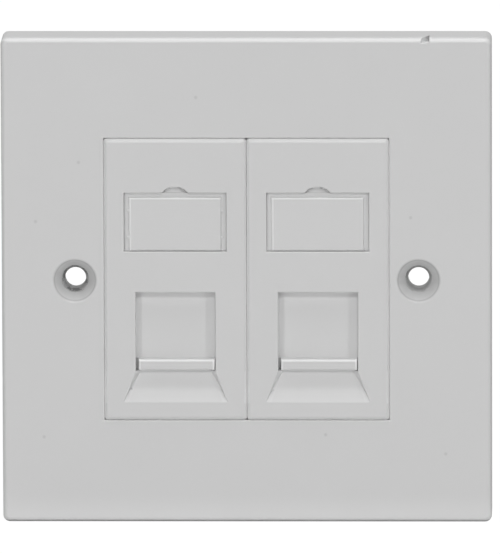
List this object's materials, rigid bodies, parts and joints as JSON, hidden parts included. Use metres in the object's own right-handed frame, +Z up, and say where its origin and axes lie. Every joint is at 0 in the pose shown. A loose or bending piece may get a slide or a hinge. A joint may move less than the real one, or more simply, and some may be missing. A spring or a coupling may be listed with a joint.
{
  "type": "keystone faceplate",
  "caption": "Single-gang white plastic keystone faceplate with two shuttered jack ports, label plates and two countersunk fixing holes.",
  "frame": {"origin": "centre of the wall plane, which the rim of the faceplate's side walls lies on", "axes": "+Z up the wall, +X to the right seen from the room, and the front face looks along -Y"},
  "size_m": [0.086, 0.0134, 0.086],
  "materials": {
    "plate_plastic": "satin white moulding",
    "module_plastic": "satin white moulding",
    "spring_wire": "bright drawn wire"
  },
  "bodies": {
    "plate": {"faceplate": "plate_plastic", "left_module": "module_plastic", "left_jack_carrier": "module_plastic", "left_label_plate": "module_plastic", "left_shutter_spring": "spring_wire", "right_module": "module_plastic", "right_jack_carrier": "module_plastic", "right_label_plate": "module_plastic", "right_shutter_spring": "spring_wire"},
    "left_shutter": {"left_shutter": "module_plastic"},
    "right_shutter": {"right_shutter": "module_plastic"}
  },
  "joints": [
    {"name": "left_shutter_slide", "type": "slide", "parent": "plate", "child": "left_shutter", "axis": [0, 0, 1], "range_m": [0, 0.0114], "stiffness_N_per_m": 30, "springref_m": -0.01, "deforming": ["left_shutter_spring"]},
    {"name": "right_shutter_slide", "type": "slide", "parent": "plate", "child": "right_shutter", "axis": [0, 0, 1], "range_m": [0, 0.0114], "stiffness_N_per_m": 30, "springref_m": -0.01, "deforming": ["right_shutter_spring"]}
  ]
}
